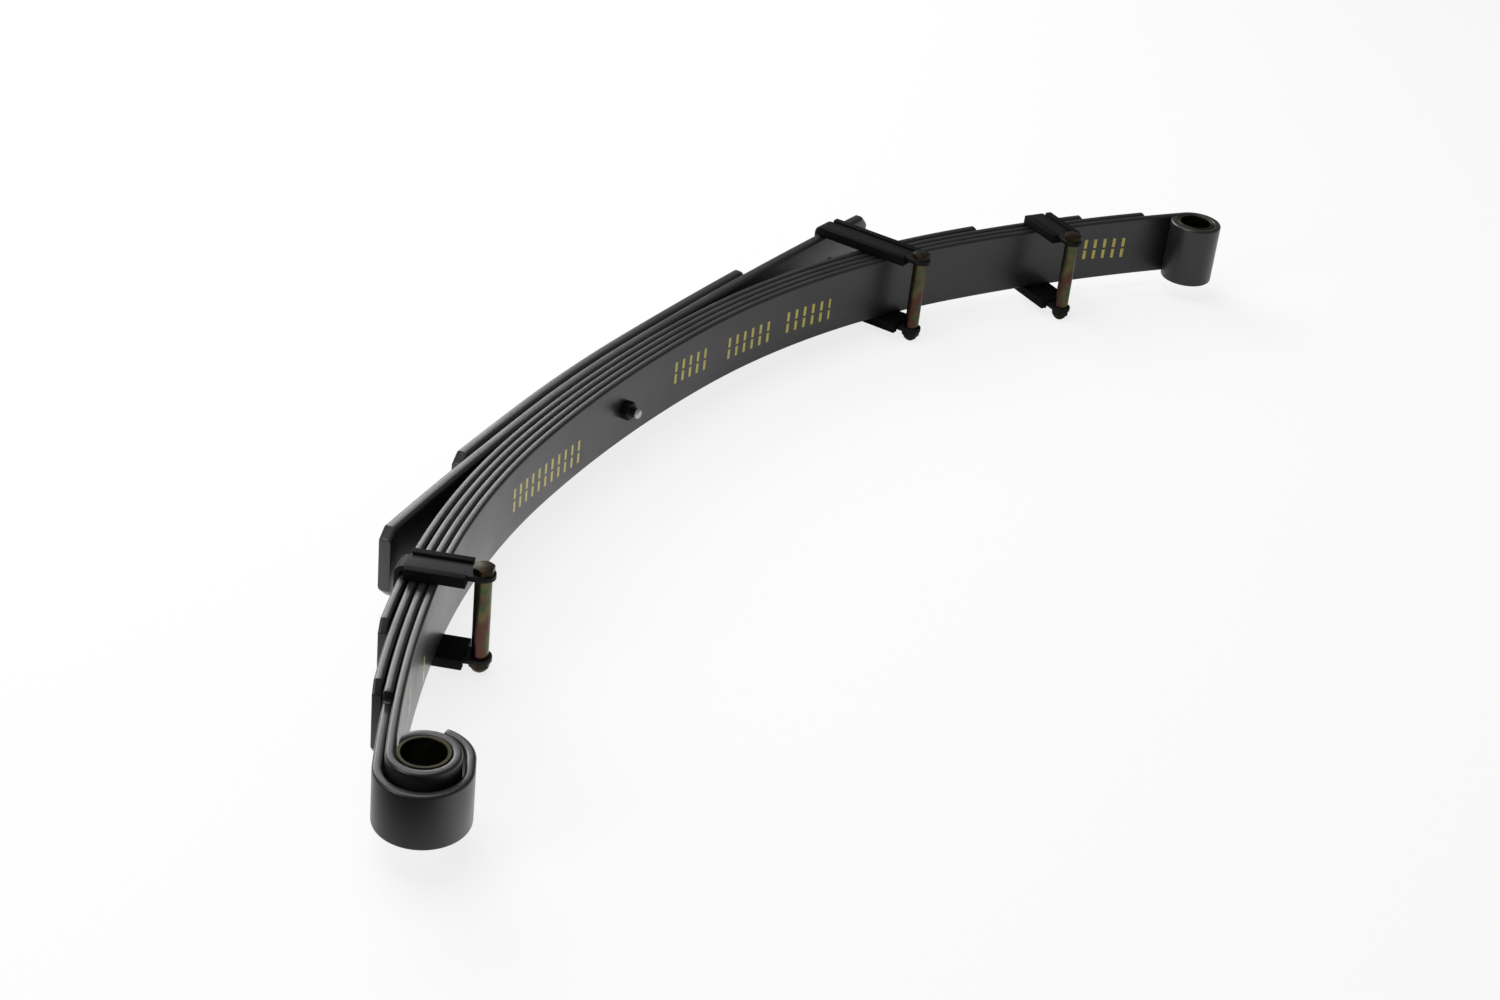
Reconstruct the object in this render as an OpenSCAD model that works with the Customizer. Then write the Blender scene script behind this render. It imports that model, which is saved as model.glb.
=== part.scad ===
// Multi-leaf suspension spring lying on its edge: Z runs across the leaves, along the eye axes.
// Origin: where the centre bolt's dowel head leaves the outermost helper leaf, at mid width.
// +X runs along the spring to the rear eye, +Y points out of the convex side, to the axle pad.

/* [Leaves] */
// Width of every leaf, across the spring
leaf_w = 70; // [60:1:80]
// Thickness of each of the four main leaves
leaf_t = 8; // [7:0.5:10]
// Thickness of each of the two helper leaves
helper_t = 12; // [10:0.5:14]
// Cut off each corner of a plain leaf end
corner_cut = 9; // [4:1:14]

/* [Camber, measured on the main leaf's concave face] */
// Radius through the centre
centre_radius = 1610; // [1200:10:2400]
// Half length of the centre arc
centre_half = 150; // [110:5:200]
// Radius of the front arm
front_radius = 916; // [700:2:1500]
// Length of the front arm arc
front_arm = 285; // [240:5:330]
// Radius of the front tip
front_tip_radius = 1410; // [1000:10:3000]
// Length of the front tip arc
front_tip = 225; // [200:1:280]
// Radius of the rear arm
rear_radius = 954; // [700:2:1500]
// Length of the rear arm arc
rear_arm = 385; // [330:5:430]
// Radius of the rear tip
rear_tip_radius = 1768; // [1000:2:3000]
// Length of the rear tip arc
rear_tip = 311; // [260:1:360]

/* [Leaf ends, as stations along the main leaf] */
// Front end of the third leaf
third_front = 578; // [540:1:600]
// Rear end of the third leaf
third_rear = 724; // [700:1:760]
// Front end of the fourth leaf
fourth_front = 494; // [460:1:520]
// Rear end of the fourth leaf
fourth_rear = 586; // [560:1:610]
// Rear end of the wrapper leaf
wrapper_rear = 803; // [770:1:815]
// Front reach of the long helper leaf
long_helper_front = 372; // [330:1:385]
// Rear reach of the long helper leaf
long_helper_rear = 512; // [490:1:530]
// Front reach of the short helper leaf
short_helper_front = 226; // [180:1:260]
// Rear reach of the short helper leaf
short_helper_rear = 292; // [240:1:340]
// Radius of the helper leaves outside their seat
helper_radius = 6000; // [4000:250:6500]

/* [Eyes] */
// Inside diameter of both rolled eyes
eye_bore_d = 42; // [38:0.5:46]
// Bore of the bush sleeve in each eye
bush_bore_d = 35; // [30:0.5:38]
// Opening left where the eye curls back to its leaf
eye_slit = 1.6; // [1:0.1:3]
// Width of the loose wrap round the front eye
wrap_w = 50; // [44:1:56]
// Clearance between the wrap and the front eye
wrap_gap = 1.5; // [1:0.1:3]
// Extra length of the wrap beyond the front eye
wrap_slack = 4.5; // [2:0.5:20]
// Straight run of the wrap back past the eye's centre
wrap_back = 9; // [6:0.5:14]
// Inside radius of the wrap's free end
wrap_end_radius = 33; // [31:0.5:36]
// Sweep of the wrap's free end
wrap_sweep = 64; // [45:1:70]

/* [Rebound clips] */
// Station of the front clip on the fourth leaf
front_clip_at = 410; // [390:1:430]
// Station of the middle clip on the long helper leaf
middle_clip_at = 440; // [410:1:455]
// Station of the rear clip on the third leaf
rear_clip_at = 655; // [640:1:675]
// Convex leaf face to clip bolt, front clip
front_clip_reach = 69; // [62:1:80]
// Convex leaf face to clip bolt, middle clip
middle_clip_reach = 126; // [118:1:140]
// Convex leaf face to clip bolt, rear clip
rear_clip_reach = 74; // [64:1:84]
// Width of the clip strap
strap_w = 21; // [18:1:26]
// Thickness of the clip strap
strap_t = 5; // [4:0.5:6]
// Thickness of the liner between strap and leaf edges
liner_t = 3; // [2:0.5:4]
// Width of each liner lip beside the strap
liner_lip = 7.5; // [5:0.5:10]
// Rise of the lips above the strap
liner_rise = 2; // [0.5:0.5:4]
// From the end of each liner to the clip bolt's axis
liner_stop = 11.5; // [10.5:0.5:20]
// Clip bolt diameter
clip_bolt_d = 10; // [8:1:12]
// Outside diameter of the spacer tube
tube_d = 15; // [13.5:0.5:18]
// Rivet shank diameter
rivet_d = 10; // [8:1:12]

/* [Centre bolt] */
// Centre bolt diameter
centre_bolt_d = 10; // [8:1:12]
// Diameter of the dowel head that locates the axle
dowel_d = 18; // [14:1:22]
// Height of the dowel head
dowel_h = 9; // [6:1:14]

/* [Hidden] */
$fn = 96;
deg = 180 / PI;

stack = 4 * leaf_t + 2 * helper_t;
eye_r = eye_bore_d / 2;
eye_outer = eye_r + leaf_t;
hole_gap = 0.3;          // radial clearance of every bolt in its hole
rivet_gap = 0.05;        // radial clearance of a rivet shank
side_gap = 0.3;          // liner to leaf edge
bush_gap = 0.02;         // radial clearance between sleeve and rolled eye
face_gap = 0.1;          // flat nut or strap face to curved leaf face
clip_half = leaf_w / 2 + side_gap + liner_t;
bend_r = 4;              // inside radius of the strap's bends
nut_af = 1.7 * clip_bolt_d;
nut_h = 0.9 * clip_bolt_d;       // conical lock nut
head_h = 0.64 * clip_bolt_d;
centre_nut_h = 0.8 * centre_bolt_d;

front_base = [[centre_radius, centre_half], [front_radius, front_arm], [front_tip_radius, front_tip]];
rear_base = [[centre_radius, centre_half], [rear_radius, rear_arm], [rear_tip_radius, rear_tip]];
helper_seat_radius = 1.05 * centre_radius;
short_seat_radius = 1.13 * centre_radius;
front_seat = 110;        // length of the helpers' seat, each side of the centre bolt
rear_seat = 60;
front_helper = [[helper_seat_radius, front_seat], [helper_radius, 400]];
rear_helper = [[helper_seat_radius, rear_seat], [helper_radius, 600]];
front_short = [[short_seat_radius, front_seat], [helper_radius, 400]];
rear_short = [[short_seat_radius, rear_seat], [helper_radius, 600]];
wrap_neck = 75;          // the wrapper narrows this far before its arm's end
front_len = centre_half + front_arm + front_tip;
rear_len = centre_half + rear_arm + rear_tip;

// How much flatter each leaf is than the main leaf, which opens a small gap towards its ends
wrapper_flare = 0.006;
third_flare = 0.016;
fourth_flare = 0.036;

// Length of arcs before arc i, and the arcs cut off at station s
function before(segs, i) = i <= 0 ? 0 : segs[i - 1][1] + before(segs, i - 1);
function cut_at(segs, s) = [
  for (i = [0:len(segs) - 1])
    let (run = min(segs[i][1], s - before(segs, i)))
      if (run > 0.001) [segs[i][0], run]
];
// Arcs of a leaf whose concave face lies off from the main leaf's
function offset_arcs(segs, off, flare = 0) = [
  for (a = segs) [(a[0] + off) / (1 - flare), a[1] * (a[0] + off) / a[0]]
];
// Walk along arcs: returns x, y and the tilt in degrees at the end
function walk(segs, n, x, y, t = 0, i = 0) =
  i >= n ? [x, y, t] :
  let (r = segs[i][0], a = deg * segs[i][1] / r)
    walk(segs, n, x + r * (sin(t + a) - sin(t)), y + r * (cos(t + a) - cos(t)), t + a, i + 1);
function leaf_arcs(base, s, off, flare = 0) = offset_arcs(cut_at(base, s), off, flare);
function end_of(arcs, off) = walk(arcs, len(arcs), 0, off - stack);
function at_station(base, s, off, flare = 0) = end_of(leaf_arcs(base, s, off, flare), off);
// A point v out of the concave face and u along it, rounded so that neighbours share it exactly
function near(p, u, v) = [
  round(100 * (p[0] + u * cos(p[2]) + v * sin(p[2]))) / 100,
  round(100 * (p[1] - u * sin(p[2]) + v * cos(p[2]))) / 100
];

module put(p) {
  translate([p[0], p[1]]) rotate(-p[2]) children();
}

module ring(centre, r, t, fn) {
  translate(centre) difference() {
    circle(r + t, $fn = fn);
    circle(r, $fn = fn);
  }
}

// One arm of a leaf: each arc is a ring cut to the cell between the seams at its two ends
module arm_profile(arcs, off, t, tip_low = 60) {
  last = len(arcs) - 1;
  for (i = [0:last]) {
    p = walk(arcs, i, 0, off - stack);
    q = walk(arcs, i + 1, 0, off - stack);
    intersection() {
      ring(near(p, 0, -arcs[i][0]), arcs[i][0], t, 720);
      polygon([near(p, 0, -60), near(p, 0, t + 60), near(q, 0, t + 60),
               near(q, 0, i == last ? -tip_low : -60)]);
    }
  }
}

module across(w) {
  translate([0, 0, -w / 2]) linear_extrude(w) children();
}

// Corner cuts of a plain leaf end, in the frame of that end
module end_cuts(t) {
  for (m = [0, 1]) mirror([0, 0, m])
    translate([0, t + 1, 0]) rotate([90, 0, 0]) linear_extrude(t + 2)
      polygon([[-corner_cut - 1, leaf_w / 2 + 1],
               [1, leaf_w / 2 - corner_cut - 1],
               [1, leaf_w / 2 + 1]]);
}

module bolt_way(d) {
  translate([0, 2, 0]) rotate([90, 0, 0]) cylinder(d = d, h = stack + 30);
}

module plain_leaf(front, front_s, rear, rear_s, off, t, flare = 0) {
  front_arcs = leaf_arcs(front, front_s, off, flare);
  rear_arcs = leaf_arcs(rear, rear_s, off, flare);
  difference() {
    across(leaf_w) {
      mirror([1, 0]) arm_profile(front_arcs, off, t);
      arm_profile(rear_arcs, off, t);
    }
    mirror([1, 0, 0]) put(at_station(front, front_s, off, flare)) end_cuts(t);
    put(at_station(rear, rear_s, off, flare)) end_cuts(t);
    bolt_way(centre_bolt_d + 2 * hole_gap);
  }
}

module rivet_hole(p) {
  put(p) translate([0, 30, 0]) rotate([90, 0, 0]) cylinder(d = rivet_d + 2 * rivet_gap, h = 60);
}

// Rolled eye at the arm's end p: it shares the seam above the slit with the arm
module eye_profile(p) {
  difference() {
    ring(near(p, 0, -eye_r), eye_r, leaf_t, 96);
    polygon([near(p, 0, -eye_slit), near(p, 0, leaf_t + 60),
             near(p, -90, leaf_t + 60), near(p, -90, -eye_slit)]);
  }
}

module main_leaf() {
  color("#2b2b2d") difference() {
    across(leaf_w) {
      mirror([1, 0]) {
        arm_profile(front_base, 0, leaf_t, eye_slit);
        eye_profile(end_of(front_base, 0));
      }
      arm_profile(rear_base, 0, leaf_t, eye_slit);
      eye_profile(end_of(rear_base, 0));
    }
    bolt_way(centre_bolt_d + 2 * hole_gap);
  }
}

// Straight length of the wrap between u0 and u1, with its lower face at v
module wrap_run(p, u0, u1, v) {
  polygon([near(p, u0 - 5, v), near(p, u0 - 5, v + leaf_t),
           near(p, u1 + 5, v + leaf_t), near(p, u1 + 5, v)]);
}

// Loose wrap round the front eye, from the wrapper leaf's end p: a straight run over the eye,
// a half turn beyond it, a straight run back and a last sweep towards the arm
module wrap_profile(p) {
  r = eye_outer + wrap_gap;
  low = -2 * r - leaf_t;
  mid = near(p, 0, -r);
  top = near(p, 0, leaf_t + 60);
  far_top = near(p, wrap_slack, leaf_t + 60);
  far_mid = near(p, wrap_slack, -r);
  far_low = near(p, wrap_slack, low - 60);
  back_mid = near(p, -wrap_back, low + leaf_t + wrap_end_radius);
  back_low = near(p, -wrap_back, low - 60);
  sweep_end = near(p, -wrap_back - 150 * sin(wrap_sweep),
                   low + leaf_t + wrap_end_radius - 150 * cos(wrap_sweep));
  intersection() {
    wrap_run(p, 0, wrap_slack, 0);
    polygon([mid, top, far_top, far_mid]);
  }
  intersection() {
    ring(far_mid, r, leaf_t, 96);
    polygon([far_top, far_mid, far_low, near(p, wrap_slack + 120, low - 60),
             near(p, wrap_slack + 120, leaf_t + 60)]);
  }
  intersection() {
    wrap_run(p, -wrap_back, wrap_slack, low);
    polygon([back_mid, far_mid, far_low, back_low]);
  }
  intersection() {
    ring(back_mid, wrap_end_radius, leaf_t, 96);
    polygon([back_mid, back_low, sweep_end]);
  }
}

module wrapper_leaf() {
  body_s = front_len - wrap_neck;
  wide_arcs = leaf_arcs(front_base, body_s, leaf_t, wrapper_flare);
  neck_arcs = leaf_arcs(front_base, front_len, leaf_t, wrapper_flare);
  neck_end = end_of(neck_arcs, leaf_t);
  color("#2f2f31") difference() {
    union() {
      across(leaf_w) {
        mirror([1, 0]) arm_profile(wide_arcs, leaf_t, leaf_t);
        arm_profile(leaf_arcs(rear_base, wrapper_rear, leaf_t, wrapper_flare), leaf_t, leaf_t);
      }
      across(wrap_w) mirror([1, 0]) {
        arm_profile(neck_arcs, leaf_t, leaf_t, eye_outer + wrap_gap);
        wrap_profile(neck_end);
      }
    }
    put(at_station(rear_base, wrapper_rear, leaf_t, wrapper_flare)) end_cuts(leaf_t);
    bolt_way(centre_bolt_d + 2 * hole_gap);
  }
}

module third_leaf() {
  color("#2d2d30") difference() {
    plain_leaf(front_base, third_front, rear_base, third_rear, 2 * leaf_t, leaf_t, third_flare);
    rivet_hole(at_station(rear_base, rear_clip_at, 2 * leaf_t, third_flare));
  }
}

module fourth_leaf() {
  color("#303033") difference() {
    plain_leaf(front_base, fourth_front, rear_base, fourth_rear, 3 * leaf_t, leaf_t, fourth_flare);
    mirror([1, 0, 0]) rivet_hole(at_station(front_base, front_clip_at, 3 * leaf_t, fourth_flare));
  }
}

module long_helper_leaf() {
  color("#2c2c2f") difference() {
    plain_leaf(front_helper, long_helper_front, rear_helper, long_helper_rear, 4 * leaf_t, helper_t);
    rivet_hole(at_station(rear_helper, middle_clip_at, 4 * leaf_t));
  }
}

module short_helper_leaf() {
  color("#313134")
    plain_leaf(front_short, short_helper_front, rear_short, short_helper_rear,
               4 * leaf_t + helper_t, helper_t);
}

module centre_bolt() {
  color("#3a3a3c") {
    rotate([90, 0, 0]) cylinder(d = centre_bolt_d, h = stack + centre_nut_h + 9);
    translate([0, dowel_h, 0]) rotate([90, 0, 0]) cylinder(d = dowel_d, h = dowel_h);
  }
}

module nut_solid(af, h, d) {
  difference() {
    cylinder(d = af / cos(30), h = h, $fn = 6);
    translate([0, 0, -1]) cylinder(d = d, h = h + 2);
  }
}

module centre_nut() {
  color("#39393b") translate([0, -stack - face_gap, 0]) rotate([90, 0, 0])
    nut_solid(1.7 * centre_bolt_d, centre_nut_h, centre_bolt_d + 0.1);
}

module eye_bush() {
  translate([0, -eye_r, -leaf_w / 2]) difference() {
    cylinder(d = eye_bore_d - 2 * bush_gap, h = leaf_w);
    translate([0, 0, -1]) cylinder(d = bush_bore_d, h = leaf_w + 2);
  }
}

module front_eye_bush() {
  color("#6a6248") mirror([1, 0, 0]) put(at_station(front_base, front_len, 0)) eye_bush();
}

module rear_eye_bush() {
  color("#6a6248") put(at_station(rear_base, rear_len, 0)) eye_bush();
}

// Clip frames: origin on the leaf's convex face, y out of it, z across the leaves
module front_clip_frame() {
  mirror([1, 0, 0]) put(at_station(front_base, front_clip_at, 3 * leaf_t, fourth_flare))
    translate([0, leaf_t + face_gap, 0]) children();
}

module middle_clip_frame() {
  put(at_station(rear_helper, middle_clip_at, 4 * leaf_t)) translate([0, helper_t + face_gap, 0])
    children();
}

module rear_clip_frame() {
  put(at_station(rear_base, rear_clip_at, 2 * leaf_t, third_flare))
    translate([0, leaf_t + face_gap, 0]) children();
}

// Bent strap section across the leaves: back plate and the two bends, in z and y
module strap_bend_profile() {
  outer = clip_half + strap_t;
  r = bend_r + strap_t;
  low = strap_t - r;
  difference() {
    union() {
      translate([-outer + r, low]) square([2 * (outer - r), r]);
      for (m = [0, 1]) mirror([m, 0]) translate([outer - r, low]) circle(r);
    }
    translate([-outer, low - r]) square([2 * outer, r]);
    translate([-clip_half + bend_r, low - 1]) square([2 * (clip_half - bend_r), bend_r + 1]);
    for (m = [0, 1]) mirror([m, 0]) translate([clip_half - bend_r, low]) circle(bend_r);
  }
}

module clip_strap(reach) {
  difference() {
    union() {
      translate([-strap_w / 2, 0, 0]) rotate([0, 90, 0]) linear_extrude(strap_w) strap_bend_profile();
      for (m = [0, 1]) mirror([0, 0, m]) translate([0, 0, clip_half]) linear_extrude(strap_t) {
        translate([-strap_w / 2, -reach]) square([strap_w, reach - bend_r + 1]);
        translate([0, -reach]) circle(d = strap_w);
      }
    }
    translate([0, -reach, -clip_half - strap_t - 1])
      cylinder(d = clip_bolt_d + 2 * hole_gap, h = 2 * (clip_half + strap_t + 1));
    translate([0, strap_t + 1, 0]) rotate([90, 0, 0])
      cylinder(d = rivet_d + 2 * rivet_gap, h = strap_t + 2);
  }
}

// Domed rivet head on the strap, shank through strap and leaf, flush on the concave face
module clip_rivet(t) {
  dome_r = 11;
  dome_h = 6;
  intersection() {
    translate([0, strap_t + dome_h - dome_r, 0]) sphere(dome_r);
    translate([0, strap_t + dome_h + 1, 0]) rotate([90, 0, 0]) cylinder(d = 30, h = dome_h + 1);
  }
  translate([0, strap_t + 0.5, 0]) rotate([90, 0, 0])
    cylinder(d = rivet_d, h = t + face_gap + strap_t + 0.5);
}

// Channel-section liner on the upper leg: a wall on the leaf edges and a lip each side of the strap
module clip_liner(reach) {
  top = clip_half + strap_t + liner_rise;
  from = leaf_w / 2 + side_gap;
  stop = reach - liner_stop;
  wide = strap_w + 2 * liner_lip;
  difference() {
    translate([-wide / 2, -stop, from]) cube([wide, stop - bend_r - 1, top - from]);
    translate([-strap_w / 2 - side_gap, -stop - 1, clip_half])
      cube([strap_w + 2 * side_gap, stop + 2, 20]);
  }
}

module clip_bolt(reach) {
  z_top = clip_half + strap_t;
  translate([0, -reach, z_top]) cylinder(d = nut_af / cos(30), h = head_h, $fn = 6);
  translate([0, -reach, -z_top - nut_h - 2]) cylinder(d = clip_bolt_d, h = 2 * z_top + nut_h + 2);
}

module clip_tube(reach) {
  translate([0, -reach, -clip_half]) difference() {
    cylinder(d = tube_d, h = 2 * clip_half);
    translate([0, 0, -1]) cylinder(d = clip_bolt_d + 2 * hole_gap, h = 2 * clip_half + 2);
  }
}

// Lock nut: a hexagon under the lug and a plain cone below it
module clip_nut(reach) {
  cone_h = 0.38 * nut_h;
  translate([0, -reach, -clip_half - strap_t - nut_h]) difference() {
    union() {
      translate([0, 0, cone_h]) cylinder(d = nut_af / cos(30), h = nut_h - cone_h, $fn = 6);
      cylinder(d1 = 0.74 * nut_af, d2 = 0.92 * nut_af, h = cone_h + 0.5);
    }
    translate([0, 0, -1]) cylinder(d = clip_bolt_d + 0.1, h = nut_h + 2);
  }
}

module front_clip_strap() {
  color("#3c3c3f") front_clip_frame() clip_strap(front_clip_reach);
}

module front_clip_rivet() {
  color("#454548") front_clip_frame() clip_rivet(leaf_t);
}

module front_clip_upper_liner() {
  color("#151516") front_clip_frame() clip_liner(front_clip_reach);
}

module front_clip_lower_liner() {
  color("#151516") front_clip_frame() mirror([0, 0, 1]) clip_liner(front_clip_reach);
}

module front_clip_bolt() {
  color("#b59a4e") front_clip_frame() clip_bolt(front_clip_reach);
}

module front_clip_tube() {
  color("#a89a58") front_clip_frame() clip_tube(front_clip_reach);
}

module front_clip_nut() {
  color("#b59a4e") front_clip_frame() clip_nut(front_clip_reach);
}

module middle_clip_strap() {
  color("#3c3c3f") middle_clip_frame() clip_strap(middle_clip_reach);
}

module middle_clip_rivet() {
  color("#454548") middle_clip_frame() clip_rivet(helper_t);
}

module middle_clip_upper_liner() {
  color("#151516") middle_clip_frame() clip_liner(middle_clip_reach);
}

module middle_clip_lower_liner() {
  color("#151516") middle_clip_frame() mirror([0, 0, 1]) clip_liner(middle_clip_reach);
}

module middle_clip_bolt() {
  color("#b59a4e") middle_clip_frame() clip_bolt(middle_clip_reach);
}

module middle_clip_tube() {
  color("#a89a58") middle_clip_frame() clip_tube(middle_clip_reach);
}

module middle_clip_nut() {
  color("#b59a4e") middle_clip_frame() clip_nut(middle_clip_reach);
}

module rear_clip_strap() {
  color("#3c3c3f") rear_clip_frame() clip_strap(rear_clip_reach);
}

module rear_clip_rivet() {
  color("#454548") rear_clip_frame() clip_rivet(leaf_t);
}

module rear_clip_upper_liner() {
  color("#151516") rear_clip_frame() clip_liner(rear_clip_reach);
}

module rear_clip_lower_liner() {
  color("#151516") rear_clip_frame() mirror([0, 0, 1]) clip_liner(rear_clip_reach);
}

module rear_clip_bolt() {
  color("#b59a4e") rear_clip_frame() clip_bolt(rear_clip_reach);
}

module rear_clip_tube() {
  color("#a89a58") rear_clip_frame() clip_tube(rear_clip_reach);
}

module rear_clip_nut() {
  color("#b59a4e") rear_clip_frame() clip_nut(rear_clip_reach);
}

main_leaf();
wrapper_leaf();
third_leaf();
fourth_leaf();
long_helper_leaf();
short_helper_leaf();
centre_bolt();
centre_nut();
front_eye_bush();
rear_eye_bush();
front_clip_strap();
front_clip_rivet();
front_clip_upper_liner();
front_clip_lower_liner();
front_clip_bolt();
front_clip_tube();
front_clip_nut();
middle_clip_strap();
middle_clip_rivet();
middle_clip_upper_liner();
middle_clip_lower_liner();
middle_clip_bolt();
middle_clip_tube();
middle_clip_nut();
rear_clip_strap();
rear_clip_rivet();
rear_clip_upper_liner();
rear_clip_lower_liner();
rear_clip_bolt();
rear_clip_tube();
rear_clip_nut();
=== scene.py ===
import math

import bmesh
import bpy
from mathutils import Matrix, Vector


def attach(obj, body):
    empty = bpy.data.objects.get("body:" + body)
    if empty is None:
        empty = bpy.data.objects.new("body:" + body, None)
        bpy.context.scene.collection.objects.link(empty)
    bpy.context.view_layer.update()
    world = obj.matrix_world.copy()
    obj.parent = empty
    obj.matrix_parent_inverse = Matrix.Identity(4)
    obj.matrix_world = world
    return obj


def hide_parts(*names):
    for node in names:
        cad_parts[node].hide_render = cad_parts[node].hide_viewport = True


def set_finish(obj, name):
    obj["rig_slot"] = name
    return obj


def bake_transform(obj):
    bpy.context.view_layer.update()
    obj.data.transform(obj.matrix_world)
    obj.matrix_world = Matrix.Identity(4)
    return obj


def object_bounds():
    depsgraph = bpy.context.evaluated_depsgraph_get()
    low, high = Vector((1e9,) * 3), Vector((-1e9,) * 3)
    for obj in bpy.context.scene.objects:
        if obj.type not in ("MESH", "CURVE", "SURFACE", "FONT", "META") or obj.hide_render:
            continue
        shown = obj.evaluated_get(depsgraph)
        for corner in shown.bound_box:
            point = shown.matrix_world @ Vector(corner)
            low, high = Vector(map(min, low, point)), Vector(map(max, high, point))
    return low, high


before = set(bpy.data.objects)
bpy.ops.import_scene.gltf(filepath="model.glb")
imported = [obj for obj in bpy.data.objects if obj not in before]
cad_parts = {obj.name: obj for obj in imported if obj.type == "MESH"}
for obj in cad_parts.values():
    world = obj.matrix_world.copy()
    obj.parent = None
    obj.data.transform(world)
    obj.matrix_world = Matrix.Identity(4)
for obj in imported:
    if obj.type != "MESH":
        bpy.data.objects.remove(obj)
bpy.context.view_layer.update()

# The view: where the camera stands, and where it looks
camera = {
    "place": (-1.856, -1.102, 1.131),
    "heading": (0.8997, 0.4366),
    "pitch": 29.77,
    "roll": 6.457,
    "lens": 59.46,
}

# Sizes in mm; arcs are (radius, length) on the main leaf's concave face
spring = {
    "width": 70,
    "leaf": 8,
    "helper": 12,
    "frontArcs": [(1610, 150), (916, 285), (1410, 225)],
    "rearArcs": [(1610, 150), (954, 385), (1768, 311)],
    "wrapperFlare": 0.006,
    "wrapperRear": 803,
    "longHelper": {"seat": 1690.5, "front": 372, "rear": 512},
    "shortHelper": {"seat": 1819.3, "front": 226, "rear": 292},
    "helperRadius": 6000,
    "cornerCut": 9,
    "edgeRound": 2.6,
    "endRound": 1.0,
    "eyeRadius": 21,
    "eyeSlit": 1.6,
    "neck": 75,
    "wrapWidth": 50,
    "wrapGap": 1.5,
    "wrapSlack": 4.5,
    "wrapBack": 9,
    "wrapEndRadius": 33,
    "wrapSweep": 64,
    "step": 4,
}

clip = {
    "strapWidth": 21,
    "strap": 5,
    "half": 38.3,
    "bend": 4,
    "linerInside": 35.3,
    "lip": 7.5,
    "lipRise": 2,
    "linerStop": 11.5,
    "boltRadius": 5,
    "shankUnder": 0.1,
    "rivetRadius": 5.0,
    "boltAcross": 17,
    "headHeight": 6.4,
    "nutHeight": 9,
    "nutCone": 3.4,
    "tubeRadius": 7.5,
    "tubeInside": 5.5,
    "tubeEdge": 0.5,
    "domeRadius": 11,
    "domeHeight": 6,
    "faceGap": 0.1,
}

centreBolt = {"radius": 5, "across": 17, "nutHeight": 8, "stub": 9, "dowelRadius": 9, "dowelHeight": 9}

bush = {"outside": 20.98, "inside": 17.5, "edge": 0.6}

stack = 4 * spring["leaf"] + 2 * spring["helper"]


# Arcs and places along them; a place is x, y and the tilt from +X
def cutArcs(arcs, station):
    out, done = [], 0
    for radius, length in arcs:
        run = min(length, station - done)
        done += length
        if run > 0.001:
            out.append((radius, run))
    return out


def offsetArcs(arcs, off, flare=0.0):
    return [((r + off) / (1 - flare), run * (r + off) / r) for r, run in arcs]


def stepArc(place, radius, run):
    x, y, tilt = place
    if radius is None:
        return (x + run * math.cos(tilt), y - run * math.sin(tilt), tilt)
    turn = run / radius
    across = radius * (math.sin(tilt + turn) - math.sin(tilt))
    down = radius * (math.cos(tilt + turn) - math.cos(tilt))
    return (x + across, y + down, tilt + turn)


def placeAt(start, arcs, station):
    place = start
    for radius, run in arcs:
        part = min(run, station)
        place = stepArc(place, radius, part)
        station -= part
        if station <= 0:
            break
    return place


def lengthOf(arcs):
    return sum(run for radius, run in arcs)


def near(place, u, v):
    x, y, tilt = place
    return (x + u * math.cos(tilt) + v * math.sin(tilt), y - u * math.sin(tilt) + v * math.cos(tilt))


# Rounded rectangle, half its width along z and its thickness from 0 along v
def section(half, thickness, radius, segments=5):
    corner = max(min(radius, 0.48 * thickness, 0.9 * half), 0.01)
    corners = [
        (half - corner, thickness - corner, 0),
        (corner - half, thickness - corner, 90),
        (corner - half, corner, 180),
        (half - corner, corner, 270),
    ]
    out = []
    for z, v, start in corners:
        for k in range(segments + 1):
            angle = math.radians(start + 90 * k / segments)
            out.append((z + corner * math.cos(angle), v + corner * math.sin(angle)))
    return out


# One ring of a swept bar: points, with each one's station, z and depth kept for the surface patterns
def ring(place, half, thickness, radius, inset=0.0, station=0.0):
    out = []
    for z, v in section(half - inset, thickness - 2 * inset, max(radius - inset, 0.2)):
        x, y = near(place, 0, v + inset)
        out.append(((x, y, z), (station, z, v + inset)))
    return out


def addMesh(name, build, sharp=32):
    mesh = bpy.data.meshes.new(name)
    build.normal_update()
    for edge in build.edges:
        edge.smooth = not (edge.is_manifold and edge.calc_face_angle(0) > math.radians(sharp))
    for face in build.faces:
        face.smooth = True
    build.to_mesh(mesh)
    build.free()
    obj = bpy.data.objects.new(name, mesh)
    bpy.context.scene.collection.objects.link(obj)
    return obj


def loft(name, rings, matrix=None, flip=False):
    build = bmesh.new()
    pattern = build.verts.layers.float_vector.new("pattern")
    rows = []
    for points in rings:
        row = []
        for spot, rest in points:
            at = Vector(spot) * 0.001
            if flip:
                at.x = -at.x
            vert = build.verts.new(matrix @ at if matrix else at)
            vert[pattern] = Vector(rest) * 0.001
            row.append(vert)
        rows.append(row)
    count = len(rows[0])
    for a, b in zip(rows, rows[1:]):
        for k in range(count):
            n = (k + 1) % count
            build.faces.new((a[k], a[n], b[n], b[k]))
    build.faces.new(rows[0])
    build.faces.new(rows[-1])
    bmesh.ops.recalc_face_normals(build, faces=build.faces)
    return addMesh(name, build)


def stationsTo(total, step, marks=()):
    count = max(1, math.ceil(total / step))
    spots = [total * k / count for k in range(count + 1)]
    return sorted([s for s in spots if all(abs(s - m) > 0.25 * step for m in marks)] + list(marks))


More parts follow.
